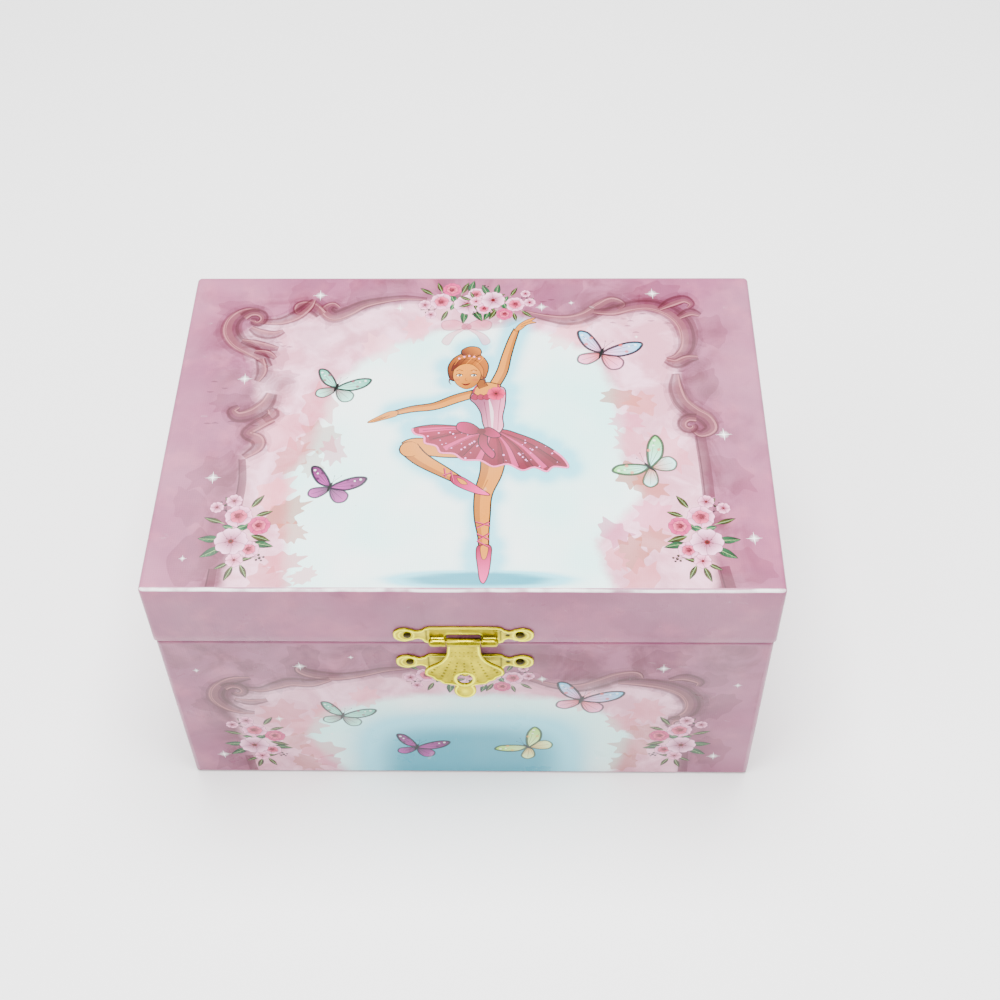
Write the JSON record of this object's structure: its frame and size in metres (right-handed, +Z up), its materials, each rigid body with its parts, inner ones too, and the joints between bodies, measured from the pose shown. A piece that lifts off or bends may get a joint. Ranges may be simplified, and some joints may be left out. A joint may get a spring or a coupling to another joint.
{
  "type": "musical jewellery box",
  "caption": "Rectangular hinged jewellery box with a lined compartment, an oval mirror in the lid and a folding dancer turned by a wind-up movement.",
  "frame": {"origin": "centre of the box's bottom face, on the surface it stands on", "axes": "+Z up, +X to the right of someone facing the clasp, -Y towards the clasp"},
  "size_m": [0.1508, 0.1294, 0.084],
  "materials": {
    "board": "matte greyboard",
    "printed_wrap": null,
    "bottom_paper": "matt paper",
    "lining": "pale pink flocked lining",
    "mirror_frame": "silvered plastic with a ring of beads",
    "mirror_glass": "mirror",
    "brass": "satin pale brass",
    "hinge_brass": "bright stamped brass",
    "dancer": "painted moulded plastic",
    "tutu": "mauve moulded plastic",
    "steel": "bright steel",
    "spring_steel": "dark spring steel",
    "zinc": "die-cast zinc",
    "movement_brass": "turned brass",
    "bushing": "moulded grommet"
  },
  "bodies": {
    "base": {"base_front_wall": "board", "base_back_wall": "board", "base_left_wall": "board", "base_right_wall": "board", "base_floor": "board", "base_wrap": "printed_wrap", "bottom_paper": "bottom_paper", "compartment_liner": "lining", "compartment_pad": "lining", "shelf_top": "lining", "shelf_front": "lining", "hinge_left_base_leaf": "hinge_brass", "hinge_left_pin": "hinge_brass", "hinge_right_base_leaf": "hinge_brass", "hinge_right_pin": "hinge_brass", "hinge_base_nails": "hinge_brass", "clasp_base_plate": "brass", "clasp_base_nails": "brass", "clasp_knob": "brass", "flex_spring": "spring_steel", "bedplate": "zinc", "bedplate_screws": "steel", "key_bushing": "bushing", "barrel_bridge": "zinc", "spindle_bracket": "zinc", "cylinder_brackets": "zinc", "comb": "steel", "comb_screws": "movement_brass", "governor_bracket": "zinc"},
    "lid": {"lid_top_panel": "board", "lid_front_wall": "board", "lid_back_wall": "board", "lid_left_wall": "board", "lid_right_wall": "board", "lid_wrap": "printed_wrap", "lid_liner_ceiling": "lining", "lid_liner_slopes": "lining", "mirror_frame": "mirror_frame", "mirror_glass": "mirror_glass", "hinge_left_lid_leaf": "hinge_brass", "hinge_right_lid_leaf": "hinge_brass", "hinge_lid_nails": "hinge_brass", "clasp_lid_plate": "brass", "clasp_lid_nails": "brass", "clasp_pin": "brass"},
    "hasp": {"clasp_hasp": "brass"},
    "dancer_fold": {"spring_ferrule": "steel"},
    "dancer": {"dancer_body": "dancer", "dancer_tutu": "tutu", "dancer_peg": "steel"},
    "key": {"winding_key": "steel", "winding_arbor": "steel"},
    "barrel": {"spring_barrel": "movement_brass", "barrel_cap": "movement_brass", "mainspring": "spring_steel"},
    "spindle": {"spindle": "steel"},
    "cylinder": {"note_cylinder": "movement_brass", "cylinder_shaft": "steel"},
    "governor": {"governor_wheel": "movement_brass"},
    "air_brake": {"governor_worm": "steel"}
  },
  "joints": [
    {"name": "lid_hinge", "type": "hinge", "parent": "base", "child": "lid", "pos_m": [0, 0.0556, 0.06285], "axis": [-1, 0, 0], "range_deg": [0, 96]},
    {"name": "clasp_hinge", "type": "hinge", "parent": "lid", "child": "hasp", "pos_m": [0, -0.05495, 0.0655], "axis": [-1, 0, 0], "range_deg": [-8.5, 150]},
    {"name": "dancer_fold", "type": "hinge", "parent": "base", "child": "dancer_fold", "pos_m": [0, 0.041, 0.0635], "axis": [-1, 0, 0], "range_deg": [0, 90.5], "deforming": ["flex_spring"]},
    {"name": "dancer_spin", "type": "hinge", "parent": "dancer_fold", "child": "dancer", "pos_m": [0, 0.041, 0.0635], "axis": [0, -1, 0], "continuous": true},
    {"name": "key_turn", "type": "hinge", "parent": "base", "child": "key", "pos_m": [0, 0.055, 0.03], "axis": [0, 1, 0], "continuous": true},
    {"name": "barrel_turn", "type": "hinge", "parent": "base", "child": "barrel", "pos_m": [0, 0.04, 0.03], "axis": [0, 1, 0], "continuous": true},
    {"name": "spindle_turn", "type": "hinge", "parent": "base", "child": "spindle", "pos_m": [0, 0.041, 0.045], "axis": [0, 0, 1], "continuous": true},
    {"name": "cylinder_turn", "type": "hinge", "parent": "base", "child": "cylinder", "pos_m": [-0.027, 0.041, 0.03], "axis": [1, 0, 0], "continuous": true},
    {"name": "governor_turn", "type": "hinge", "parent": "base", "child": "governor", "pos_m": [0.0185, 0.041, 0.03], "axis": [1, 0, 0], "continuous": true},
    {"name": "air_brake_turn", "type": "hinge", "parent": "base", "child": "air_brake", "pos_m": [0.0185, 0.0352, 0.03], "axis": [0, 0, 1], "continuous": true}
  ],
  "couplings": [
    {"joint": "dancer_fold", "follows": "lid_hinge", "ratio": 0.9375},
    {"joint": "dancer_spin", "follows": "barrel_turn", "ratio": -2.8},
    {"joint": "spindle_turn", "follows": "barrel_turn", "ratio": -2.8},
    {"joint": "cylinder_turn", "follows": "barrel_turn", "ratio": 2.8},
    {"joint": "governor_turn", "follows": "barrel_turn", "ratio": -2.8},
    {"joint": "air_brake_turn", "follows": "barrel_turn", "ratio": -44.8}
  ]
}
